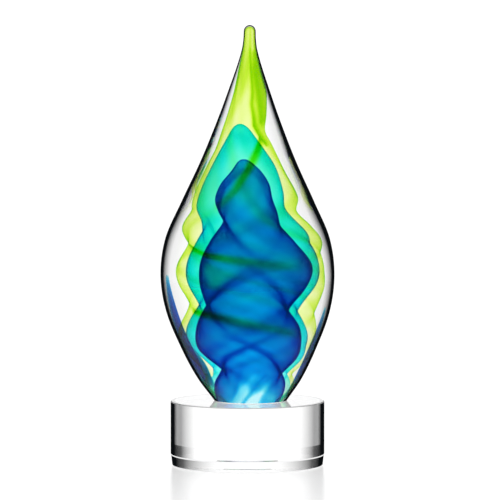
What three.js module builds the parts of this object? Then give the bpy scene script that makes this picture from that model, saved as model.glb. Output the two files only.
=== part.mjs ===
// A hand-made art-glass award. A solid glass flame holds three coloured veils, one
// inside the other and twisted together. Its foot is ground flat and bonded with a
// clear film to a round optical-crystal base.
//
// Millimetres, +Z up. The origin is the centre of the base's underside, and the front
// of the award faces -Y.

import * as THREE from 'three';
import { mergeVertices } from 'three/addons/utils/BufferGeometryUtils.js';

// ---- base and adhesive -------------------------------------------------------------

const BASE_RADIUS = 40;
const BASE_HEIGHT = 33.5;
const BASE_TOP_CHAMFER = 0.5;
const BASE_FOOT_CHAMFER = 0.4;
const BASE_CREASE_Z = 5.7; // ring line where the cylinder meets the bevelled band
const BASE_CREASE_STEP = 0.25; // polished arris at that ring line
const BASE_BAND_LEAN = 0.8; // how far the band leans in at its lower edge
const BASE_SEGMENTS = 60;

const FILM_RADIUS = 18.5;
const FILM_THICKNESS = 0.25;
const FILM_SEGMENTS = 40;

// ---- flame -------------------------------------------------------------------------

const FOOT_Z = BASE_HEIGHT + FILM_THICKNESS; // ground foot of the flame
const WIDEST_Z = 99;
const VEIL_THICKNESS = 0.8;
const FUSION_GAP = 0.3; // clearance kept between one gather of glass and the next
const LAYER_GAP = 2; // least distance from one veil's outer face to the next one's
const CREASE_ROUNDING = 0.1; // softens the valley between a veil's two lobes

const RING_POINTS = 24;
const STEPS_TO_WIDEST = 14; // rings from the foot up to the widest height
const STEPS_TO_BLUE = 12; // and on to each surface's shoulder in turn
const STEPS_TO_TEAL = 3;
const STEPS_TO_LIME = 8;
const STEPS_TO_CASING = 1;
const DOME_LEANS = [Math.PI / 6, Math.PI / 3]; // rings between a shoulder and its apex

const ROUND_DOME = 1; // power of a dome that closes like an ellipse
const POINTED_DOME = 2; // power of a dome that closes like a parabola

// Half-turns made by a veil's broad side, as [height, half-turns] pairs.
const TWIST = [[FOOT_Z, 2.95], [43, 2.8], [53, 2.5], [66, 2], [84.5, 1.5], [101, 1], [120, 0.5],
  [133, 0.2], [150, 0], [226, -0.5]];

// A veil's section is two round lobes side by side. lobe is their radius, spread is how far
// each lobe's centre stands from the middle, drift is how far the section's middle lies to
// the right of the axis, and lag is how far up the twist the veil runs ahead, all as
// [height, size] pairs. The last lobe pair is the shoulder, where the closing dome starts.
// core is the next veil inside.
const BLUE = layerOf({
  lobe: [[FOOT_Z, 11.4], [42, 12.9], [53, 12], [65, 16.4], [75, 17.9], [84.5, 16.6], [102, 18.2],
    [113, 14.6], [122, 11.2], [129, 11.2], [135.5, 11.4], [143, 9.9], [150.3, 6], [154.5, 3.4]],
  spread: [[FOOT_Z, 0.6], [42, 1.2], [53, 5], [65, 4.2], [75, 4.2], [84.5, 5.2], [102, 4.5],
    [113, 4.2], [122, 3], [135, 0.4], [150, 0.1]],
  drift: [[FOOT_Z, 0.2], [42, 1.2], [53, 2], [65, 0.8], [75, 0.8], [84.5, 0], [92, 1.6],
    [102, 3.4], [113, 2.6], [122, 1.6], [129, -0.2], [135.5, -1.5], [143, -1], [150.3, -0.5],
    [157, -1.4]],
  lag: [[90, 0], [112, -2.5], [226, -2.5]],
  apex: 157,
  dome: POINTED_DOME,
});
const TEAL = layerOf({
  lobe: [[FOOT_Z, 12.6], [45, 13.9], [53, 14.4], [62, 17.6], [72, 21], [85.5, 19.8], [102, 22.4],
    [113, 21.8], [123, 17.6], [130, 17.4], [139, 16.6], [153, 12.6], [163, 8.3], [170, 5]],
  spread: [[FOOT_Z, 0.6], [45, 1.2], [58, 3.4], [72, 4], [85.5, 5.4], [102, 4.6], [113, 4.4],
    [123, 2.4], [130, 0.8], [153, 0.3], [170, 0.1]],
  drift: [[FOOT_Z, 0.4], [45, 1.6], [55, 1.4], [72, 0.3], [85.5, 0.4], [102, 2.5], [113, 3.2],
    [122, 0.4], [130, -2.8], [139, -2.4], [153, -1.6], [163, -2], [176, -2.8]],
  lag: [[90, 0], [112, 4], [226, 4]],
  apex: 176,
  dome: POINTED_DOME,
  core: BLUE,
});
const LIME = layerOf({
  lobe: [[FOOT_Z, 14.4], [45, 15], [53, 17.6], [61, 21.4], [73, 25.2], [84.5, 25], [100, 27],
    [111, 25.8], [119, 24.6], [128, 20.4], [136, 20.2], [150, 15.6], [165, 10.8], [172, 8.6],
    [180, 7.8], [188, 7], [194, 6.3], [209, 3.7], [217, 2.6], [224.5, 2.2]],
  spread: [[FOOT_Z, 0.6], [45, 1], [61, 2.2], [73, 3.2], [84.5, 3.6], [100, 2.9], [111, 4.2],
    [119, 2.6], [128, 1.2], [150, 0.3], [217, 0]],
  drift: [[FOOT_Z, 0.4], [45, 1.4], [61, -0.4], [73, 0.6], [84.5, 2], [100, 1.4], [111, 2.8],
    [119, -0.8], [128, -1.6], [136, -0.3], [150, -0.6], [165, -1.1], [172, -1.5], [180, -0.2],
    [188, 0.8], [194, 1.3], [209, 1], [225.5, 1.2]],
  lag: [[90, 0], [112, 9], [226, 9]],
  apex: 227.2,
  dome: ROUND_DOME,
  core: TEAL,
});

// The casing is round: one lobe with no spread.
const CASING = layerOf({
  lobe: [[FOOT_Z, 18.9], [45, 27], [60, 34.7], [80, 42.5], [WIDEST_Z, 45.2], [118, 42.7],
    [137, 34.5], [158, 24.8], [180, 16], [200, 8.9], [209, 5.9], [216.4, 3.9], [221.4, 3.25],
    [225.2, 3.1]],
  spread: [[FOOT_Z, 0], [228.5, 0]],
  drift: [[FOOT_Z, 1.6], [60, 0.7], [WIDEST_Z, 0], [150, 0.3], [228.5, 1.2]],
  lag: [[FOOT_Z, 0], [228.5, 0]],
  apex: 228.5,
  dome: ROUND_DOME,
});

// Drift of the veils' middle towards the back, as [height, offset] pairs.
const VEIL_DRIFT_Y = [[FOOT_Z, 0], [60, 0.8], [85, -0.9], [110, 0.9], [140, -0.8], [177, 0.5],
  [226, 0]];

// ---- curves ------------------------------------------------------------------------

/** Smooth function through [height, value] pairs: a cubic Hermite with averaged slopes. */
function curveThrough(pairs) {
  const last = pairs.length - 1;
  const slope = pairs.map((pair, i) => {
    const before = pairs[Math.max(i - 1, 0)];
    const after = pairs[Math.min(i + 1, last)];
    return (after[1] - before[1]) / (after[0] - before[0]);
  });
  return (height) => {
    const z = Math.min(Math.max(height, pairs[0][0]), pairs[last][0]);
    let i = 0;
    while (i < last - 1 && z > pairs[i + 1][0]) i += 1;
    const [z0, v0] = pairs[i];
    const [z1, v1] = pairs[i + 1];
    const span = z1 - z0;
    const t = (z - z0) / span;
    const t2 = t * t;
    const t3 = t2 * t;
    return v0 * (2 * t3 - 3 * t2 + 1) + slope[i] * span * (t3 - 2 * t2 + t)
      + v1 * (3 * t2 - 2 * t3) + slope[i + 1] * span * (t3 - t2);
  };
}

/** A layer with its pairs made into curves, and the height of its shoulder. */
function layerOf({ lobe, spread, drift, lag, ...rest }) {
  return {
    ...rest,
    lobe: curveThrough(lobe),
    spread: curveThrough(spread),
    drift: curveThrough(drift),
    lag: curveThrough(lag),
    shoulder: lobe[lobe.length - 1][0],
  };
}

const twist = curveThrough(TWIST);
const veilDriftY = curveThrough(VEIL_DRIFT_Y);

/** How far a layer's outer face lies from its middle at a height, towards an azimuth. */
function sectionReach(layer, z, azimuth) {
  const lobe = layer.lobe(z);
  const spread = layer.spread(z);
  const angle = azimuth - Math.PI * twist(z + layer.lag(z));
  const along = spread * Math.hypot(Math.cos(angle), CREASE_ROUNDING);
  const reach = along + Math.sqrt(lobe ** 2 - (spread * Math.sin(angle)) ** 2);
  if (!layer.core || z >= layer.core.shoulder) return reach;
  const shift = (layer.core.drift(z) - layer.drift(z)) * Math.cos(azimuth);
  return Math.max(reach, sectionReach(layer.core, z, azimuth) + shift + LAYER_GAP);
}

/** Heights shared by every flame surface, so that nested surfaces facet alike. */
function sharedLevels() {
  const breaks = [FOOT_Z, WIDEST_Z, BLUE.shoulder, TEAL.shoulder, LIME.shoulder, CASING.shoulder];
  const counts = [STEPS_TO_WIDEST, STEPS_TO_BLUE, STEPS_TO_TEAL, STEPS_TO_LIME, STEPS_TO_CASING];
  const levels = [FOOT_Z];
  counts.forEach((count, i) => {
    const step = (breaks[i + 1] - breaks[i]) / count;
    for (let j = 1; j <= count; j += 1) levels.push(breaks[i] + j * step);
  });
  return levels;
}

// ---- flame surfaces ----------------------------------------------------------------

const LEVELS = sharedLevels();

/** Heights of a layer's rings from its foot over its dome, and how far each is drawn in. */
function ringLevels(layer, apex) {
  const below = LEVELS.filter((z) => z <= layer.shoulder + 0.001);
  return [
    ...below.map((z) => ({ z, shrink: 1 })),
    ...DOME_LEANS.map((lean) => ({
      z: layer.shoulder + (apex - layer.shoulder) * Math.sin(lean) ** layer.dome,
      shrink: Math.cos(lean),
    })),
  ];
}

/** Surface of a layer, moved inwards by inset (outwards where it is negative). */
function layerSurface(layer, inset, driftY) {
  const apex = layer.apex - inset;
  const rings = ringLevels(layer, apex).map(({ z, shrink }) => (
    Array.from({ length: RING_POINTS }, (_, i) => {
      const azimuth = (2 * Math.PI * i) / RING_POINTS;
      const reach = shrink * (sectionReach(layer, z, azimuth) - inset);
      return new THREE.Vector3(
        layer.drift(z) + reach * Math.cos(azimuth),
        driftY(z) + reach * Math.sin(azimuth),
        z,
      );
    })
  ));
  return { rings, apex: new THREE.Vector3(layer.drift(apex), driftY(apex), apex) };
}

function veilSurface(layer, inset) {
  return layerSurface(layer, inset, veilDriftY);
}

function casingSurface() {
  return layerSurface(CASING, 0, () => 0);
}

// ---- solids ------------------------------------------------------------------------

/** Adds a surface's triangles to a list, facing out, or facing in where turned is true. */
function addSurface(triangles, { rings, apex }, turned) {
  const add = (a, b, c) => triangles.push(...(turned ? [a, c, b] : [a, b, c]));
  for (let i = 0; i < RING_POINTS; i += 1) {
    const next = (i + 1) % RING_POINTS;
    for (let j = 0; j + 1 < rings.length; j += 1) {
      add(rings[j][i], rings[j][next], rings[j + 1][next]);
      add(rings[j][i], rings[j + 1][next], rings[j + 1][i]);
    }
    const top = rings[rings.length - 1];
    add(top[i], top[next], apex);
  }
}

function geometryOf(triangles) {
  return mergeVertices(new THREE.BufferGeometry().setFromPoints(triangles));
}

/** Solid glass inside a surface, flat at the foot. */
function filledSolid(outer) {
  const triangles = [];
  addSurface(triangles, outer, false);
  const foot = outer.rings[0];
  const centre = new THREE.Vector3(BLUE.drift(FOOT_Z), veilDriftY(FOOT_Z), FOOT_Z);
  foot.forEach((point, i) => triangles.push(foot[(i + 1) % RING_POINTS], point, centre));
  return geometryOf(triangles);
}

/** Layer of glass between two surfaces, open at the foot where it was ground flat. */
function layerSolid(outer, inner) {
  const triangles = [];
  addSurface(triangles, outer, false);
  addSurface(triangles, inner, true);
  const rim = outer.rings[0];
  const hole = inner.rings[0];
  for (let i = 0; i < RING_POINTS; i += 1) {
    const next = (i + 1) % RING_POINTS;
    triangles.push(rim[next], rim[i], hole[i]);
    triangles.push(rim[next], hole[i], hole[next]);
  }
  return geometryOf(triangles);
}

/** Solid of revolution about Z from [radius, height] pairs. */
function turnedSolid(pairs, segments) {
  const profile = pairs.map(([radius, height]) => new THREE.Vector2(radius, height));
  return new THREE.LatheGeometry(profile, segments).rotateX(Math.PI / 2);
}

// ---- materials ---------------------------------------------------------------------

function glass(color, roughness) {
  return new THREE.MeshStandardMaterial({ color, roughness, metalness: 0 });
}

const clearGlass = glass(0xf2f6f8, 0.03);
const opticalCrystal = glass(0xf8fafb, 0.02);
const limeGlass = glass(0xd8f03c, 0.05);
const tealGlass = glass(0x2fdcb4, 0.05);
const blueGlass = glass(0x0a5fc0, 0.05);
const clearAdhesive = glass(0xeef2f0, 0.1);

// ---- sub-parts ---------------------------------------------------------------------

const award = new THREE.Group();

function addPart(name, geometry, material) {
  const mesh = new THREE.Mesh(geometry, material);
  mesh.name = name;
  award.add(mesh);
}

function crystalBase() {
  const bandFoot = BASE_RADIUS - BASE_BAND_LEAN;
  return turnedSolid([
    [0, 0],
    [bandFoot - BASE_FOOT_CHAMFER, 0],
    [bandFoot, BASE_FOOT_CHAMFER],
    [BASE_RADIUS - BASE_CREASE_STEP, BASE_CREASE_Z],
    [BASE_RADIUS, BASE_CREASE_Z + BASE_CREASE_STEP],
    [BASE_RADIUS, BASE_HEIGHT - BASE_TOP_CHAMFER],
    [BASE_RADIUS - BASE_TOP_CHAMFER, BASE_HEIGHT],
    [0, BASE_HEIGHT],
  ], BASE_SEGMENTS);
}

function adhesiveFilm() {
  const film = turnedSolid([
    [0, BASE_HEIGHT],
    [FILM_RADIUS, BASE_HEIGHT],
    [FILM_RADIUS, FOOT_Z],
    [0, FOOT_Z],
  ], FILM_SEGMENTS);
  return film.translate(CASING.drift(FOOT_Z), 0, 0);
}

const underVeil = VEIL_THICKNESS; // inner face of a veil
const insideVeil = VEIL_THICKNESS + FUSION_GAP; // outer face of the glass it wraps
const overVeil = -FUSION_GAP; // inner face of the glass that covers it

addPart('crystal_base', crystalBase(), opticalCrystal);
addPart('adhesive_film', adhesiveFilm(), clearAdhesive);
addPart('clear_core', filledSolid(veilSurface(BLUE, insideVeil)), clearGlass);
addPart('blue_veil', layerSolid(veilSurface(BLUE, 0), veilSurface(BLUE, underVeil)), blueGlass);
addPart(
  'inner_clear_layer',
  layerSolid(veilSurface(TEAL, insideVeil), veilSurface(BLUE, overVeil)),
  clearGlass,
);
addPart('teal_veil', layerSolid(veilSurface(TEAL, 0), veilSurface(TEAL, underVeil)), tealGlass);
addPart(
  'middle_clear_layer',
  layerSolid(veilSurface(LIME, insideVeil), veilSurface(TEAL, overVeil)),
  clearGlass,
);
addPart('lime_veil', layerSolid(veilSurface(LIME, 0), veilSurface(LIME, underVeil)), limeGlass);
addPart('outer_casing', layerSolid(casingSurface(), veilSurface(LIME, overVeil)), clearGlass);

export default award;
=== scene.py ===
import math

import bpy
import numpy as np
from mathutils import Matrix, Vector


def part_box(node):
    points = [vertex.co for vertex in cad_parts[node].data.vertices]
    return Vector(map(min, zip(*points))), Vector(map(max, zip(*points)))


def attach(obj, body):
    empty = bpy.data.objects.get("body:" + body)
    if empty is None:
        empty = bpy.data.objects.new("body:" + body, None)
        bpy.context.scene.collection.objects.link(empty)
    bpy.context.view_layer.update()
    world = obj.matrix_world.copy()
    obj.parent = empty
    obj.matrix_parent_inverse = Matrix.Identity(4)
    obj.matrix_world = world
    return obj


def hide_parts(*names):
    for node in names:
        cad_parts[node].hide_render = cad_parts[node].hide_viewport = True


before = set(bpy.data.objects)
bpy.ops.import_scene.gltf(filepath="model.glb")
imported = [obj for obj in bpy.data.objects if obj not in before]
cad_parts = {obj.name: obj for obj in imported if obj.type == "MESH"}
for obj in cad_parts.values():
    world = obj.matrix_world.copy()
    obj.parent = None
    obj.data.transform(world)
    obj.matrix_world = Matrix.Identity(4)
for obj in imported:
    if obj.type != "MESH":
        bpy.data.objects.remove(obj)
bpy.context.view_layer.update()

MM = 0.001

# ---- sizes read from the frame -------------------------------------------------------

BASE_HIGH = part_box("crystal_base")[1]
BOND_LOW, BOND_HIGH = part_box("adhesive_film")
FOOT_Z = BOND_HIGH.z / MM
FLAME_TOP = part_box("outer_casing")[1].z / MM

# ---- flame shape, in millimetres: the same driving dimensions as the CAD part --------

ROUND = 1  # power of a dome that closes like an ellipse
POINTED = 2  # power of a dome that closes like a parabola

# Half-turns made by a veil's broad side, as (height, half-turns) pairs.
TWIST = [(33.75, 2.95), (43, 2.8), (53, 2.5), (66, 2), (84.5, 1.5), (101, 1), (120, 0.5),
         (133, 0.2), (150, 0), (226, -0.5)]

# A veil's section is two round lobes side by side. lobe is their radius, spread is how far
# each lobe's centre stands from the middle, drift is how far the section's middle lies to the
# right of the axis, and lag is how far up the twist the veil runs ahead, all as (height, size)
# pairs. core is the next veil inside.
BLUE = {
    "lobe": [(33.75, 11.4), (42, 12.9), (53, 12), (65, 16.4), (75, 17.9), (84.5, 16.6),
             (102, 18.2), (113, 14.6), (122, 11.2), (129, 11.2), (135.5, 11.4), (143, 9.9),
             (150.3, 6), (154.5, 3.4)],
    "spread": [(33.75, 0.6), (42, 1.2), (53, 5), (65, 4.2), (75, 4.2), (84.5, 5.2),
               (102, 4.5), (113, 4.2), (122, 3), (135, 0.4), (150, 0.1)],
    "drift": [(33.75, 0.2), (42, 1.2), (53, 2), (65, 0.8), (75, 0.8), (84.5, 0), (92, 1.6),
              (102, 3.4), (113, 2.6), (122, 1.6), (129, -0.2), (135.5, -1.5), (143, -1),
              (150.3, -0.5), (157, -1.4)],
    "lag": [(90, 0), (112, -2.5), (226, -2.5)],
    "apex": 157,
    "dome": POINTED,
    "core": None,
}
TEAL = {
    "lobe": [(33.75, 12.6), (45, 13.9), (53, 14.4), (62, 17.6), (72, 21), (85.5, 19.8),
             (102, 22.4), (113, 21.8), (123, 17.6), (130, 17.4), (139, 16.6), (153, 12.6),
             (163, 8.3), (170, 5)],
    "spread": [(33.75, 0.6), (45, 1.2), (58, 3.4), (72, 4), (85.5, 5.4), (102, 4.6),
               (113, 4.4), (123, 2.4), (130, 0.8), (153, 0.3), (170, 0.1)],
    "drift": [(33.75, 0.4), (45, 1.6), (55, 1.4), (72, 0.3), (85.5, 0.4), (102, 2.5),
              (113, 3.2), (122, 0.4), (130, -2.8), (139, -2.4), (153, -1.6), (163, -2),
              (176, -2.8)],
    "lag": [(90, 0), (112, 4), (226, 4)],
    "apex": 176,
    "dome": POINTED,
    "core": BLUE,
}
LIME = {
    "lobe": [(33.75, 14.4), (45, 15), (53, 17.6), (61, 21.4), (73, 25.2), (84.5, 25),
             (100, 27), (111, 25.8), (119, 24.6), (128, 20.4), (136, 20.2), (150, 15.6),
             (165, 10.8), (172, 8.6), (180, 7.8), (188, 7), (194, 6.3), (209, 3.7), (217, 2.6),
             (224.5, 2.2)],
    "spread": [(33.75, 0.6), (45, 1), (61, 2.2), (73, 3.2), (84.5, 3.6), (100, 2.9),
               (111, 4.2), (119, 2.6), (128, 1.2), (150, 0.3), (217, 0)],
    "drift": [(33.75, 0.4), (45, 1.4), (61, -0.4), (73, 0.6), (84.5, 2), (100, 1.4), (111, 2.8),
              (119, -0.8), (128, -1.6), (136, -0.3), (150, -0.6), (165, -1.1), (172, -1.5),
              (180, -0.2), (188, 0.8), (194, 1.3), (209, 1), (225.5, 1.2)],
    "lag": [(90, 0), (112, 9), (226, 9)],
    "apex": 227.2,
    "dome": ROUND,
    "core": TEAL,
}
# How far the middle of every veil lies behind the axis, as (height, distance) pairs.
DRIFT_Y = [(33.75, 0), (60, 0.8), (85, -0.9), (110, 0.9), (140, -0.8), (177, 0.5), (226, 0)]
LAYER_GAP = 2  # least distance between the outer faces of neighbouring veils
CREASE_ROUNDING = 0.1  # softens the valley between the two lobes

# The casing's radius, and how far its middle lies to the right of the axis, by height.
CASING = [(33.75, 18.9), (45, 27), (60, 34.7), (80, 42.5), (99, 45.2), (118, 42.7),
          (137, 34.5), (158, 24.8), (180, 16), (200, 8.9), (209, 5.9), (216.4, 3.9), (221.4, 3.25),
          (225.2, 3.1)]
CASING_DRIFT = [(33.75, 1.6), (60, 0.7), (99, 0), (150, 0.3), (228.5, 1.2)]

# ---- how finely the meshes are made, and clearances, in millimetres ------------------

AROUND = 144  # points round a ring
AZIMUTH = 2 * math.pi * np.arange(AROUND)[None, :] / AROUND
RINGS = 260  # rings up the casing
DOME_RINGS = 14  # rings over a dome
TURNED_AROUND = 256  # points round a turned piece
SHARP_ANGLE = math.radians(18)  # edges sharper than this stay crisp
WISP_ROWS = 60
WISP_COLUMNS = 24
WISP_EDGE = 0.02  # thickness of a wisp at its very edge
FOOT_TAPER = 6  # powers by which a wisp thins out towards its foot, its top and its sides
TOP_TAPER = 3
SIDE_TAPER = 4
VEIL_CLEARANCE = 0.1  # between a veil's rim and the ground foot
LEAST_REACH = 0.05  # between a veil's surface and its own middle
LEAST_RADIUS = 0.01  # keeps a division off the axis
BOND_CLEARANCE = 0.02  # between the adhesive and the glass on each side of it

# ---- films of colour, in millimetres -------------------------------------------------

RNG = np.random.default_rng(7)
WAVES = 9  # ripples that grain a film
FEWEST_CRESTS = 2  # round the section, in one ripple
MOST_CRESTS = 10
SLOWEST_CLIMB = 0.01  # turn of a ripple round the section for each mm of height, in radians
FASTEST_CLIMB = 0.05
VALLEY_WIDTH = 0.16  # how much of the valley between two lobes is pooled, as a cosine
THINNEST = 0.03
THICKEST = 1.75

# How thick each film is by height, and how many times that again pools in its valleys.
LIME_FILM = [(33, 0.03), (62, 0.032), (80, 0.06), (135, 0.095), (160, 0.1), (176, 0.13),
             (190, 0.18), (205, 0.32), (226, 0.2)]
TEAL_FILM = [(33, 0.02), (46, 0.04), (56, 0.16), (80, 0.34), (115, 0.34), (135, 0.24),
             (148, 0.26), (158, 0.36), (176, 0.45)]
BLUE_FILM = [(33, 0.4), (42, 0.5), (55, 0.74), (75, 0.72), (110, 0.66), (135, 0.5), (157, 0.48)]
EVEN_POOLING = [(33, 0.5), (226, 0.5)]
BLUE_POOLING = [(33, 0), (52, 0.6), (75, 1.1), (110, 0.9), (128, 0), (157, 0)]
LIME_GRAIN = 0.3  # how strongly the ripples show
TEAL_GRAIN = 0.2
BLUE_GRAIN = 0.22

# Streaks in each film. Each is a run of (degrees right of the front, height, half-width, depth).
LIME_STREAKS = [
    # flap of doubled film on the right below the tip, and the folds at its two edges
    [(45, 214, 1.2, 0.5), (42, 205, 2.0, 0.9), (46, 190, 3.0, 0.9), (62, 178, 2.6, 0.7)],
    [(6, 216, 0.5, 0.5), (10, 204, 0.8, 1.0), (12, 187, 0.9, 1.0), (34, 176, 1.2, 1.4),
     (64, 166, 1.2, 1.0)],
    # strand that crosses the teal veil's crown
    [(50, 168, 1.3, 1.3), (22, 160, 1.6, 1.3), (2, 152, 1.5, 1.0), (-18, 142, 1.6, 0.5),
     (-38, 134, 1.8, 0.15)],
    # bands that leave the left valleys and wind across the front
    [(-80, 112, 1.0, 0.6), (-50, 109.5, 1.2, 0.5), (-10, 107.5, 2.0, 0.4), (25, 105, 2.4, 0.25),
     (48, 103, 2.0, 0.05)],
    [(-47, 102, 4.0, 0.16), (-33, 98, 5.0, 0.2), (-14, 101, 3.5, 0.05)],
    [(-80, 83, 1.0, 0.5), (-45, 81, 1.8, 0.4), (-5, 77, 2.2, 0.35), (35, 73, 2.0, 0.25),
     (60, 70, 2.0, 0.03)],
]
TEAL_STREAKS = [
    [(-10, 170, 3.0, 0.5), (10, 168, 3.0, 0.4)],
    [(-40, 152, 3.0, -0.12), (-14, 160, 4.0, -0.24), (16, 158, 3.4, -0.2), (44, 150, 2.6, -0.1)],
    [(-62, 126, 1.2, 0.7), (-48, 118, 1.6, 0.9), (-44, 112, 1.6, 0.2)],
]
BLUE_STREAKS = [
    [(-88, 83.5, 1.4, 1.4), (-50, 90, 1.3, 1.4), (-15, 98, 2.0, 1.0), (25, 104, 2.4, 0.3),
     (50, 107, 2.4, 0)],
    [(-88, 83.5, 1.2, 1.1), (-55, 78, 1.2, 0.8), (-35, 73, 1.2, 0.3)],
    [(-82, 122, 1.4, 1.0), (-50, 119, 1.4, 0.9), (-15, 112, 1.8, 0.5), (5, 107, 1.8, 0.1)],
    [(86, 83, 1.2, 0.9), (50, 88, 1.4, 0.6), (20, 93, 1.4, 0.1)],
    [(-66, 52, 0.8, 1.3), (-38, 60, 0.8, 1.3), (2, 66.5, 0.9, 1.3), (38, 61, 1.0, 1.5),
     (66, 53, 1.0, 1.5)],
    [(-45, 72, 1.2, 0.2), (2, 66.5, 1.0, 0.6), (35, 71, 1.4, 0.1)],
    # thin film under each roof-shaped fold: a painted highlight, lighter just below each fold
    [(-58, 85, 1.6, -0.2), (-30, 88, 2.6, -0.36), (5, 89.5, 3.2, -0.36), (34, 86, 2.2, -0.2)],
    [(-32, 56, 1.8, -0.2), (0, 61.5, 2.0, -0.32), (26, 57, 1.8, -0.2)],
    [(-62, 102, 4.5, -0.35), (-36, 98, 5.0, -0.4), (-14, 100, 3.0, -0.15)],
    [(-52, 68, 2.2, -0.15), (-27, 67.5, 2.4, -0.32), (-10, 71, 1.6, -0.1)],
    [(-14, 125, 3.0, 0.15), (13, 119.5, 3.5, 0.35), (34, 114, 3.0, 0.15)],
    [(-30, 140, 4.0, -0.1), (20, 138, 4.0, -0.12)],
    [(-84, 128, 2.2, 0.8), (-66, 142, 1.8, 0.7), (-30, 151, 1.4, 0.6), (20, 152, 1.4, 0.5),
     (62, 144, 1.6, 0.4), (84, 130, 1.8, 0.3)],
    [(-80, 82, 1.8, 0.4), (-40, 79, 2.4, 0.8), (0, 75, 2.6, 0.8), (40, 71, 2.4, 0.3)],
    # foot: the film runs out into thin wisps
    [(-34, 34, 3.2, -0.8), (-15, 41, 2.4, -0.7), (5, 50, 1.1, -0.25)],
    [(8, 34, 2.8, -0.8), (25, 41, 2.0, -0.7), (38, 48, 1.0, -0.2)],
    [(-13, 34, 0.8, 0.4), (4, 41, 0.8, 0.45), (24, 50, 0.9, 0.35)],
    [(-40, 36, 1.4, 0.35), (-30, 46, 1.4, 0.4), (-12, 56, 1.6, 0.3)],
    [(168, 34, 8.0, -0.7), (172, 42, 5.5, -0.6), (176, 49, 4.0, -0.15)],
]

# ---- glass and light -----------------------------------------------------------------

CASING_IOR = 1.3
CRYSTAL_IOR = 1.52
ADHESIVE_IOR = 1.45
UNBENT_IOR = 1.0  # light crosses without bending
# colour of the painted shade mixed into the glass towards the edge of the view
PAINTED_SHADE_BLACK = (0.003, 0.004, 0.005)
# painted light: pale diffuse mixed into the ring line, more of it towards the edge of the view
PAINTED_PALE_LINE = (0.9, 0.9, 0.9)

# How much red, green and blue each millimetre of a coloured glass takes out.
LIME_ABSORPTION = (0.8, 0.24, 4.1)
TEAL_ABSORPTION = (4.2, 0.25, 0.13)
BLUE_ABSORPTION = (5.0, 1.08, 0.37)
BLUE_WISP_ABSORPTION = (7.0, 1.2, 0.4)
TEAL_WISP_ABSORPTION = (2.5, 0.3, 0.45)
# painted light: the teal film's inner face gives off blue light, for what an opal film would send
# back
TEAL_PAINTED_GLOW = (0.001, 0.02, 0.17)  # blue light from the teal film's inner face

FLOOR_ALBEDO = 0.3
WORLD_LIGHT = 1.12
GLASS_BOUNCES = 64  # light crosses many nested faces in the flame
GLOSSY_BOUNCES = 16

# Painted shade on each glass, as (facing, darkness) pairs: how much of its edge colour is mixed in.
# Facing is 0 where a surface is seen square on, and 1 where it is seen edge on.
CASING_EDGE = [(0.1, 0.0), (0.55, 0.25), (0.75, 1.0)]
CLEAR_EDGE = [(0.3, 0.0), (1.0, 0.0)]
# Painted shade on the base's wall: clear in the middle, then grey, a black line, lighter past it.
WALL_EDGE = [(0.25, 0.0), (0.5, 0.7), (0.6, 0.7), (0.7, 1.0), (1.0, 0.3)]
LOW_WALL_EDGE = [(0.25, 0.0), (0.5, 0.9), (0.7, 1.0), (1.0, 0.3)]
BAND_EDGE = [(0.1, 0.0), (0.5, 0.9), (0.7, 1.0), (1.0, 0.3)]
# the ring line's stops mix in its painted pale colour in place of shade
RING_LINE_EDGE = [(0.3, 0.8), (0.6, 1.0)]
RESTING_FACE_EDGE = [(0.5, 0.0), (0.9, 0.0)]
TOP_FACE_EDGE = [(0.5, 0.02), (0.9, 0.05)]
TOP_CORNER_EDGE = [(0.3, 0.45), (0.6, 0.7)]
TOP_BORDER_EDGE = [(0.5, 0.06), (0.9, 0.2)]

# How much further in than at the belly the casing's painted shade reaches on its left and on
# its right, as (height, step in facing) pairs.
LEFT_RIM = [(100, 0), (150, 0.04), (190, 0.1), (214, 0.16), (228, 0.26)]
RIGHT_RIM = [(100, 0), (117, 0.04), (153, 0.1), (189, 0.19), (212, 0.24), (222, 0.26),
             (228, 0.26)]


def curve_through(pairs):
    """Smooth function through (height, value) pairs: a cubic Hermite with averaged slopes."""
    z = np.array([pair[0] for pair in pairs], float)
    v = np.array([pair[1] for pair in pairs], float)
    before = np.maximum(np.arange(len(z)) - 1, 0)
    after = np.minimum(np.arange(len(z)) + 1, len(z) - 1)
    slope = (v[after] - v[before]) / (z[after] - z[before])

    def value(height):
        height = np.clip(height, z[0], z[-1])
        i = np.clip(np.searchsorted(z, height) - 1, 0, len(z) - 2)
        span = z[i + 1] - z[i]
        t = (height - z[i]) / span
        return (v[i] * (2 * t**3 - 3 * t**2 + 1) + slope[i] * span * (t**3 - 2 * t**2 + t)
                + v[i + 1] * (3 * t**2 - 2 * t**3) + slope[i + 1] * span * (t**3 - t**2))

    return value


def section_reach(layer, z, azimuth):
    """How far a veil's outer surface lies from its middle, and the angle from its broad side."""
    lobe = curve_through(layer["lobe"])(z)
    spread = curve_through(layer["spread"])(z)
    turn = math.pi * curve_through(TWIST)(z + curve_through(layer["lag"])(z))
    angle = azimuth - turn
    reach = spread * np.sqrt(np.cos(angle) ** 2 + CREASE_ROUNDING**2)
    reach = reach + np.sqrt(lobe**2 - (spread * np.sin(angle)) ** 2)
    if layer["core"]:
        core_reach = section_reach(layer["core"], z, azimuth)[0]
        shift = curve_through(layer["core"]["drift"])(z) - curve_through(layer["drift"])(z)
        inside = z < layer["core"]["lobe"][-1][0]
        least = core_reach + shift * np.cos(azimuth) + LAYER_GAP
        reach = np.where(inside, np.maximum(reach, least), reach)
    return reach, angle


# ---- surfaces ------------------------------------------------------------------------


def ring_heights(shoulder, apex, dome, rings):
    """Ring heights from the foot to the shoulder and over a dome, and how far each is drawn in."""
    lean = math.pi / 2 * np.arange(1, DOME_RINGS) / DOME_RINGS
    closing = shoulder + (apex - shoulder) * np.sin(lean) ** dome
    heights = np.concatenate([np.linspace(FOOT_Z, shoulder, rings), closing])
    return heights[:, None], np.concatenate([np.ones(rings), np.cos(lean)])[:, None]


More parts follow.
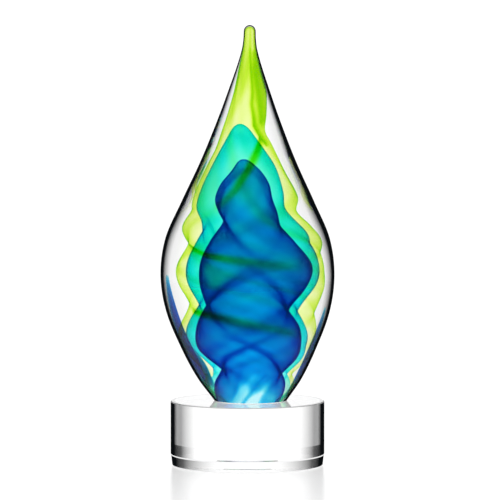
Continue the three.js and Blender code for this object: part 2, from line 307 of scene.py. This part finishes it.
def ring_points(reach, centre_x, centre_y, z):
    x = centre_x + reach * np.cos(AZIMUTH)
    y = centre_y + reach * np.sin(AZIMUTH)
    return np.stack([x, y, np.broadcast_to(z, x.shape)], axis=-1)


def casing_surface():
    z, shrink = ring_heights(CASING[-1][0], FLAME_TOP, ROUND, RINGS)
    reach = curve_through(CASING)(z) * shrink
    drift = curve_through(CASING_DRIFT)
    return ring_points(reach, drift(z), 0 * z, z), (float(drift(FLAME_TOP)), 0.0, FLAME_TOP)


def veil_surface(layer, thickness):
    """Surface of a veil, moved inwards by thickness(layer, height, azimuth, angle)."""
    shoulder = layer["lobe"][-1][0]
    rings = int(RINGS * (shoulder - FOOT_Z) / (FLAME_TOP - FOOT_Z))
    z, shrink = ring_heights(shoulder, layer["apex"], layer["dome"], rings)
    reach, angle = section_reach(layer, z, AZIMUTH)
    depth = thickness(layer, z, AZIMUTH, angle)
    apex = layer["apex"] - float(depth[-1].mean())
    lowered = shoulder + (z - shoulder) * (apex - shoulder) / (layer["apex"] - shoulder)
    z = np.where(z > shoulder, lowered, z)
    reach = np.maximum((reach - depth) * shrink, LEAST_REACH)
    drift = curve_through(layer["drift"])
    middle_y = curve_through(DRIFT_Y)
    lifted = np.maximum(z, layer["lobe"][0][0] + VEIL_CLEARANCE)
    top = (float(drift(apex)), float(middle_y(apex)), apex)
    return ring_points(reach, drift(z), middle_y(z), lifted), top


def surface_faces(first, rings, apex, turned):
    """Quads between rings and triangles to the apex; first is the first ring's first point."""
    faces = []
    for ring in range(rings - 1):
        low = first + ring * AROUND
        for i in range(AROUND):
            j = (i + 1) % AROUND
            faces.append((low + i, low + j, low + AROUND + j, low + AROUND + i))
    top = first + (rings - 1) * AROUND
    faces += [(top + i, top + (i + 1) % AROUND, apex) for i in range(AROUND)]
    return [face[::-1] for face in faces] if turned else faces


def new_piece(name, points, faces):
    mesh = bpy.data.meshes.new(name)
    mesh.from_pydata([tuple(c * MM for c in p) for p in points], [], faces)
    mesh.shade_smooth()
    mesh.set_sharp_from_angle(angle=SHARP_ANGLE)
    piece = bpy.data.objects.new(name, mesh)
    bpy.context.scene.collection.objects.link(piece)
    return piece


def closed_piece(name, outer, inner=None):
    """A closed mesh piece from an outer surface, and an inner one where it is a shell."""
    points = []
    faces = []
    starts = []
    for rings, apex in [outer] + ([inner] if inner else []):
        starts.append(len(points))
        points += [tuple(p) for p in rings.reshape(-1, 3)]
        points.append(apex)
        faces += surface_faces(starts[-1], len(rings), len(points) - 1, len(starts) > 1)
    if inner:
        for i in range(AROUND):
            j = (i + 1) % AROUND
            faces.append((starts[0] + j, starts[0] + i, starts[1] + i, starts[1] + j))
    else:
        faces.append(tuple(reversed(range(AROUND))))
    piece = new_piece(name, points, faces)
    if inner:
        side = piece.data.attributes.new("inner_face", "FLOAT", "POINT")
        values = np.zeros(len(points))
        values[starts[1]:] = 1.0
        side.data.foreach_set("value", values)
    return piece


def turned_piece(name, profile, centre_x=0.0):
    """A solid of revolution from (radius, height) pairs that start and end on the axis."""
    ring = profile[1:-1]
    points = [(centre_x, 0, profile[0][1])]
    for radius, height in ring:
        turns = [2 * math.pi * i / TURNED_AROUND for i in range(TURNED_AROUND)]
        points += [(centre_x + radius * math.cos(t), radius * math.sin(t), height) for t in turns]
    points.append((centre_x, 0, profile[-1][1]))
    faces = []
    top = 1 + (len(ring) - 1) * TURNED_AROUND
    for i in range(TURNED_AROUND):
        j = (i + 1) % TURNED_AROUND
        faces.append((0, 1 + j, 1 + i))
        faces.append((top + i, top + j, len(points) - 1))
        for level in range(len(ring) - 1):
            low = 1 + level * TURNED_AROUND
            faces.append((low + i, low + j, low + TURNED_AROUND + j, low + TURNED_AROUND + i))
    return new_piece(name, points, faces)


# ---- films of colour -----------------------------------------------------------------


def streak_depth(layer, streak, z, azimuth):
    """Extra thickness that a streak adds to a film, or takes away where its depth is negative."""
    size = curve_through(layer["lobe"])
    best = 0 * z * azimuth
    for wrap in (-2 * math.pi, 0, 2 * math.pi):
        across = (azimuth + math.pi / 2 + wrap) * size(z)
        for start, end in zip(streak, streak[1:]):
            turn_a, z_a, width_a, depth_a = start
            turn_b, z_b, width_b, depth_b = end
            ax = math.radians(turn_a) * size(z_a)
            bx = math.radians(turn_b) * size(z_b)
            length_squared = (bx - ax) ** 2 + (z_b - z_a) ** 2
            along = ((across - ax) * (bx - ax) + (z - z_a) * (z_b - z_a)) / length_squared
            along = np.clip(along, 0, 1)
            off = np.hypot(across - ax - along * (bx - ax), z - z_a - along * (z_b - z_a))
            width = width_a + (width_b - width_a) * along
            depth = (depth_a + (depth_b - depth_a) * along) * np.exp(-((off / width) ** 2))
            best = np.where(np.abs(depth) > np.abs(best), depth, best)
    return best


def film(along, pooling, grain, streaks):
    """Film thickness: along the height, pooled in the valleys, grained along the twist, streaked.

    The film pools most in the left back and right front valleys, so the folds slope one way.
    """
    thin = curve_through(along)
    pooled = curve_through(pooling)
    waves = []
    for _ in range(WAVES):
        crests = RNG.integers(FEWEST_CRESTS, MOST_CRESTS + 1)
        climb = RNG.uniform(SLOWEST_CLIMB, FASTEST_CLIMB)
        waves.append((crests, climb, RNG.uniform(0, 2 * math.pi)))

    def thickness(layer, z, azimuth, angle):
        ripple = sum(np.sin(crests * angle + climb * z + start) for crests, climb, start in waves)
        ripple = ripple / math.sqrt(WAVES)
        roofed = (1 - np.sin(2 * azimuth)) / 2
        valley = np.exp(-((np.cos(angle) / VALLEY_WIDTH) ** 2))
        depth = thin(z) * (1 + pooled(z) * roofed * valley)
        depth = depth * np.exp(grain * ripple)
        depth = depth + sum(streak_depth(layer, streak, z, azimuth) for streak in streaks)
        return np.clip(depth, THINNEST, THICKEST)

    return thickness


def no_depth(layer, z, azimuth, angle):
    return 0 * z * azimuth


# ---- materials -----------------------------------------------------------------------


def new_material(name):
    material = bpy.data.materials.new(name)
    material.use_nodes = True
    return material, material.node_tree.nodes, material.node_tree.links


def clear_glass(name, ior, painted_shade_stops, painted_edge_colour=PAINTED_SHADE_BLACK):
    """Polished clear glass with painted shade at its edge, as it looks against a bright field.

    The stops are (facing, darkness) pairs from the middle of the view to the edge, for how much of
    the edge colour is mixed in: painted shade, which the ring line has painted pale instead. A
    piece's rim width attribute, where it has one, brings the painted dark edge further in.
    """
    material, nodes, links = new_material(name)
    glass = nodes["Principled BSDF"]
    glass.inputs["Base Color"].default_value = (1, 1, 1, 1)
    glass.inputs["Roughness"].default_value = 0
    glass.inputs["IOR"].default_value = ior
    glass.inputs["Specular Tint"].default_value = (0, 0, 0, 1)
    glass.inputs["Transmission Weight"].default_value = 1
    # painted shade: a diffuse in the edge colour, mixed in by how edge-on the surface is seen
    edge = nodes.new("ShaderNodeBsdfDiffuse")
    edge.inputs["Color"].default_value = painted_edge_colour + (1,)
    weight = nodes.new("ShaderNodeLayerWeight")
    weight.inputs["Blend"].default_value = 0.5
    ramp = nodes.new("ShaderNodeValToRGB")
    for place, level in painted_shade_stops:
        ramp.color_ramp.elements.new(place).color = (level, level, level, 1)
    ramp.color_ramp.elements[0].color = (painted_shade_stops[0][1],) * 3 + (1,)
    ramp.color_ramp.elements[-1].color = (painted_shade_stops[-1][1],) * 3 + (1,)
    # The painted shade counts only where the glass is seen from outside.
    geometry = nodes.new("ShaderNodeNewGeometry")
    outside = nodes.new("ShaderNodeMath")
    outside.operation = "MULTIPLY_ADD"
    outside.inputs[1].default_value = -1
    links.new(geometry.outputs["Backfacing"], outside.inputs[0])
    links.new(ramp.outputs["Color"], outside.inputs[2])
    outside.use_clamp = True
    rim = nodes.new("ShaderNodeAttribute")
    rim.attribute_name = "painted_rim_width"
    widened = nodes.new("ShaderNodeMath")
    links.new(weight.outputs["Facing"], widened.inputs[0])
    links.new(rim.outputs["Fac"], widened.inputs[1])
    links.new(widened.outputs["Value"], ramp.inputs["Fac"])
    mix = nodes.new("ShaderNodeMixShader")
    links.new(outside.outputs["Value"], mix.inputs["Fac"])
    links.new(glass.outputs["BSDF"], mix.inputs[1])
    links.new(edge.outputs["BSDF"], mix.inputs[2])
    links.new(mix.outputs["Shader"], nodes["Material Output"].inputs["Surface"])
    return material


def absorb(material, per_mm):
    """Gives a glass its colour by depth: how much red, green and blue each mm takes out."""
    nodes = material.node_tree.nodes
    densest = max(per_mm)
    volume = nodes.new("ShaderNodeVolumeAbsorption")
    volume.inputs["Color"].default_value = tuple(1 - a / densest for a in per_mm) + (1,)
    volume.inputs["Density"].default_value = densest / MM
    material.node_tree.links.new(volume.outputs["Volume"], nodes["Material Output"].inputs["Volume"])


def veil_glass(name, per_mm, painted_glow=(0, 0, 0)):
    """Film of coloured glass fused into clear glass, so light crosses it without bending.

    The light given as the last argument is painted light from the film's inner face, standing in
    for what an opal film would send back.
    """
    material, nodes, links = new_material(name)
    glass = nodes["Principled BSDF"]
    glass.inputs["Base Color"].default_value = (1, 1, 1, 1)
    glass.inputs["Roughness"].default_value = 0
    glass.inputs["IOR"].default_value = UNBENT_IOR
    glass.inputs["Transmission Weight"].default_value = 1
    absorb(material, per_mm)
    if max(painted_glow) > 0:
        side = nodes.new("ShaderNodeAttribute")
        side.attribute_name = "inner_face"
        tint = nodes.new("ShaderNodeMix")
        tint.data_type = "RGBA"
        tint.inputs["A"].default_value = (0, 0, 0, 1)
        tint.inputs["B"].default_value = painted_glow + (1,)
        links.new(side.outputs["Fac"], tint.inputs["Factor"])
        links.new(tint.outputs["Result"], glass.inputs["Emission Color"])
        glass.inputs["Emission Strength"].default_value = 1
    return material


def studio_floor():
    """Pale sheet that also gives off light of its own, so that shadows on it stay faint."""
    material, nodes, _ = new_material("white_floor")
    sheet = nodes["Principled BSDF"]
    sheet.inputs["Base Color"].default_value = (FLOOR_ALBEDO, FLOOR_ALBEDO, FLOOR_ALBEDO, 1)
    sheet.inputs["Roughness"].default_value = 0.6
    sheet.inputs["Specular IOR Level"].default_value = 0
    sheet.inputs["Coat Weight"].default_value = 0.9
    sheet.inputs["Coat Roughness"].default_value = 0.25
    sheet.inputs["Emission Color"].default_value = (1, 1, 1, 1)
    sheet.inputs["Emission Strength"].default_value = WORLD_LIGHT * (1 - FLOOR_ALBEDO)
    return material


# ---- the flame -----------------------------------------------------------------------


def finish_piece(piece, material, slot, *nodes):
    piece.data.materials.append(material)
    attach(piece, "root")
    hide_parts(*nodes)


flame = closed_piece("glass_flame", casing_surface())
# The casing's painted dark edge is widened point by point, by height and by side.
spots = np.array([tuple(vertex.co) for vertex in flame.data.vertices]) / MM  # in millimetres
off_axis = np.maximum(np.hypot(spots[:, 0], spots[:, 1]), LEAST_RADIUS)
towards_right = (1 + spots[:, 0] / off_axis) / 2  # 0 on the far left, 1 on the far right
rim_left = curve_through(LEFT_RIM)(spots[:, 2])
rim_right = curve_through(RIGHT_RIM)(spots[:, 2])
painted_rim_width = flame.data.attributes.new("painted_rim_width", "FLOAT", "POINT")
painted_rim_width.data.foreach_set("value", rim_left + (rim_right - rim_left) * towards_right)
finish_piece(
    flame,
    clear_glass("clear_glass", CASING_IOR, CASING_EDGE),
    "clear_glass", "outer_casing", "middle_clear_layer", "inner_clear_layer", "clear_core",
)


def add_veil(name, layer, thickness, material, slot, node):
    piece = closed_piece(name, veil_surface(layer, no_depth), veil_surface(layer, thickness))
    finish_piece(piece, material, slot, node)


add_veil(
    "lime_colour_veil", LIME,
    film(LIME_FILM, EVEN_POOLING, LIME_GRAIN, LIME_STREAKS),
    veil_glass("lime_glass", LIME_ABSORPTION), "lime_glass", "lime_veil",
)
add_veil(
    "teal_colour_veil", TEAL,
    film(TEAL_FILM, EVEN_POOLING, TEAL_GRAIN, TEAL_STREAKS),
    veil_glass("teal_glass", TEAL_ABSORPTION, TEAL_PAINTED_GLOW), "teal_glass", "teal_veil",
)
add_veil(
    "blue_colour_veil", BLUE,
    film(BLUE_FILM, BLUE_POOLING, BLUE_GRAIN, BLUE_STREAKS),
    veil_glass("blue_glass", BLUE_ABSORPTION), "blue_glass", "blue_veil",
)

# ---- stray wisps of colour in the casing ---------------------------------------------


def add_wisp(name, rim_turn, sweep, share, depth, material):
    """Thin shred of colour at a share of the casing's radius, from the rim towards the front.

    sweep is its width as (height, degrees) pairs, and rim_turn is its rim side's azimuth.
    """
    size = curve_through(CASING)
    drift = curve_through(CASING_DRIFT)
    width_at = curve_through(sweep)
    z_low = sweep[0][0]
    z_high = sweep[-1][0]
    points = []
    for inner in (0, 1):
        for row in range(WISP_ROWS + 1):
            up = row / WISP_ROWS
            z = z_low + (z_high - z_low) * up
            for column in range(WISP_COLUMNS + 1):
                across = column / WISP_COLUMNS
                taper = (1 - (1 - up) ** FOOT_TAPER) * (1 - up**TOP_TAPER)
                taper = taper * (1 - (2 * across - 1) ** SIDE_TAPER)
                turn = math.radians(rim_turn + float(width_at(z)) * across)
                reach = share * float(size(z)) - inner * (WISP_EDGE + depth * taper)
                points.append((float(drift(z)) + reach * math.cos(turn), reach * math.sin(turn), z))
    width = WISP_COLUMNS + 1
    layer = width * (WISP_ROWS + 1)
    faces = []
    for row in range(WISP_ROWS):
        for column in range(WISP_COLUMNS):
            a = row * width + column
            faces.append((a, a + 1, a + width + 1, a + width))
            faces.append((layer + a, layer + a + width, layer + a + width + 1, layer + a + 1))
    rim = list(range(width))
    rim += [r * width + width - 1 for r in range(1, WISP_ROWS + 1)]
    rim += [WISP_ROWS * width + c for c in range(width - 2, -1, -1)]
    rim += [r * width for r in range(WISP_ROWS - 1, 0, -1)]
    for a, b in zip(rim, rim[1:] + rim[:1]):
        faces.append((b, a, layer + a, layer + b))
    if sweep[0][1] < 0:
        faces = [face[::-1] for face in faces]
    piece = new_piece(name, points, faces)
    piece.data.materials.append(material)
    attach(piece, "root")


BLUE_WISP_GLASS = veil_glass("blue_wisp_glass", BLUE_WISP_ABSORPTION)
TEAL_WISP_GLASS = veil_glass("teal_wisp_glass", TEAL_WISP_ABSORPTION)
add_wisp("left_blue_wisp", 176, [(46, 26), (55, 29), (65, 25), (86, 17), (99, 8)], 0.76, 1.5,
         BLUE_WISP_GLASS)
add_wisp("left_low_blue_wisp", 180, [(43, 30), (48, 32), (56, 30), (66, 14)], 0.71, 1.3,
         BLUE_WISP_GLASS)
add_wisp("left_teal_wisp", 176, [(35.5, 44), (42, 44), (50, 36), (56, 20)], 0.745, 0.8,
         TEAL_WISP_GLASS)
add_wisp("right_blue_wisp", 4, [(37, -24), (48, -22), (60, -17), (74, -12), (84, -6)], 0.76, 1.2,
         BLUE_WISP_GLASS)

# ---- base and adhesive ---------------------------------------------------------------

BASE_RADIUS = BASE_HIGH.x / MM
BASE_TOP = BASE_HIGH.z / MM
CREASE_Z = 5.7  # height of the ring line
CREASE_HALF = 0.35  # half the line's own height
CREASE_STEP = 0.25  # how far the wall stands out past the band
# painted shade: the wall's foot below this height has a darker painted edge
LOW_WALL_Z = 12  # top of the darker foot of the wall
BAND_LEAN = 0.8  # how far the band leans in towards its foot
BAND_FOOT = BASE_RADIUS - BAND_LEAN
FOOT_CHAMFER = 0.4
TOP_CHAMFER = 0.5
# painted shade: the border round the top face is painted greyer
TOP_BORDER = 2.2  # width of the greyer border round the top face
UPRIGHT_LIMIT = 0.5  # most upward lean of a face that counts as upright
RESTING_LEVEL = FOOT_CHAMFER / 4  # faces lower than this are the resting face
TOP_LEVEL = BASE_TOP - TOP_CHAMFER / 4  # faces higher than this are the top face

base = turned_piece("polished_base", [
    (0, 0),
    (BAND_FOOT - FOOT_CHAMFER, 0),
    (BAND_FOOT, FOOT_CHAMFER),
    (BASE_RADIUS - CREASE_STEP, CREASE_Z - CREASE_HALF),
    (BASE_RADIUS, CREASE_Z + CREASE_HALF),
    (BASE_RADIUS, LOW_WALL_Z),
    (BASE_RADIUS, BASE_TOP - TOP_CHAMFER),
    (BASE_RADIUS - TOP_CHAMFER, BASE_TOP),
    (BASE_RADIUS - TOP_BORDER, BASE_TOP),
    (0, BASE_TOP),
])
finish_piece(
    base,
    clear_glass("optical_crystal", CRYSTAL_IOR, WALL_EDGE), "optical_crystal", "crystal_base",
)
WALL, LOW_WALL, BAND, RING_LINE, RESTING_FACE, TOP_FACE, TOP_CORNER, BORDER = range(8)
# The base's glasses are one crystal glass with painted shade of different strength at each place;
# the ring line is painted pale, and the resting face lets light through unbent.
for name, ior, painted_shade_stops, painted_edge_colour in [
    ("optical_crystal_low_wall", CRYSTAL_IOR, LOW_WALL_EDGE, PAINTED_SHADE_BLACK),
    ("optical_crystal_band", CRYSTAL_IOR, BAND_EDGE, PAINTED_SHADE_BLACK),
    ("ring_line", CRYSTAL_IOR, RING_LINE_EDGE, PAINTED_PALE_LINE),
    ("resting_face", UNBENT_IOR, RESTING_FACE_EDGE, PAINTED_SHADE_BLACK),
    ("optical_crystal_top", CRYSTAL_IOR, TOP_FACE_EDGE, PAINTED_SHADE_BLACK),
    ("top_edge", CRYSTAL_IOR, TOP_CORNER_EDGE, PAINTED_SHADE_BLACK),
    ("top_border", CRYSTAL_IOR, TOP_BORDER_EDGE, PAINTED_SHADE_BLACK),
]:
    base.data.materials.append(clear_glass(name, ior, painted_shade_stops, painted_edge_colour))


def base_glass(face):
    """Which of the base's painted-shade glasses a face has. The foot chamfer has the ring line's."""
    level = face.center.z / MM
    upright = abs(face.normal.z) < UPRIGHT_LIMIT
    if level < RESTING_LEVEL:
        return RESTING_FACE
    if upright and level < CREASE_Z - CREASE_HALF:
        return BAND
    if level < CREASE_Z + CREASE_HALF:
        return RING_LINE
    if level < LOW_WALL_Z:
        return LOW_WALL
    if level > TOP_LEVEL:
        return TOP_FACE if face.center.xy.length / MM < BASE_RADIUS - TOP_BORDER else BORDER
    return TOP_CORNER if level > BASE_TOP - TOP_CHAMFER else WALL


for face in base.data.polygons:
    face.material_index = base_glass(face)

BOND_RADIUS = (BOND_HIGH.x - BOND_LOW.x) / 2 / MM
bond = turned_piece("bonding_film", [
    (0, BOND_LOW.z / MM + BOND_CLEARANCE),
    (BOND_RADIUS, BOND_LOW.z / MM + BOND_CLEARANCE),
    (BOND_RADIUS, BOND_HIGH.z / MM - BOND_CLEARANCE),
    (0, BOND_HIGH.z / MM - BOND_CLEARANCE),
], (BOND_LOW.x + BOND_HIGH.x) / 2 / MM)
finish_piece(
    bond,
    clear_glass("clear_adhesive", ADHESIVE_IOR, CLEAR_EDGE), "clear_adhesive", "adhesive_film",
)

# ---- studio --------------------------------------------------------------------------

# Sizes here are in metres.
FLOOR_HALF = 30.0
FLOOR_GAP = 0.0002
corners = [(-FLOOR_HALF, -FLOOR_HALF, 0), (FLOOR_HALF, -FLOOR_HALF, 0),
           (FLOOR_HALF, FLOOR_HALF, 0), (-FLOOR_HALF, FLOOR_HALF, 0)]
floor_mesh = bpy.data.meshes.new("floor")
floor_mesh.from_pydata(corners, [], [(0, 1, 2, 3)])
floor_mesh.materials.append(studio_floor())
floor = bpy.data.objects.new("floor", floor_mesh)
floor.location.z = -FLOOR_GAP
bpy.context.scene.collection.objects.link(floor)

world = bpy.data.worlds.new("studio")
bpy.context.scene.world = world
world.use_nodes = True
sky = world.node_tree.nodes["Background"]
sky.inputs["Color"].default_value = (1, 1, 1, 1)
sky.inputs["Strength"].default_value = WORLD_LIGHT

scene = bpy.context.scene
scene.view_settings.view_transform = "Standard"
scene.cycles.max_bounces = GLASS_BOUNCES
scene.cycles.transmission_bounces = GLASS_BOUNCES
scene.cycles.transparent_max_bounces = GLASS_BOUNCES
scene.cycles.glossy_bounces = GLOSSY_BOUNCES

AIM = Vector((0.0013, 0, 0.1119))
EYE = Vector((AIM.x, -1.8, 0.216))
LENS = 250  # focal length and sensor width, in millimetres
SENSOR_WIDTH = 36
camera_data = bpy.data.cameras.new("camera")
camera_data.lens = LENS
camera_data.sensor_width = SENSOR_WIDTH
camera = bpy.data.objects.new("camera", camera_data)
scene.collection.objects.link(camera)
scene.camera = camera
camera.location = EYE
camera.rotation_euler = (AIM - camera.location).to_track_quat("-Z", "Y").to_euler()
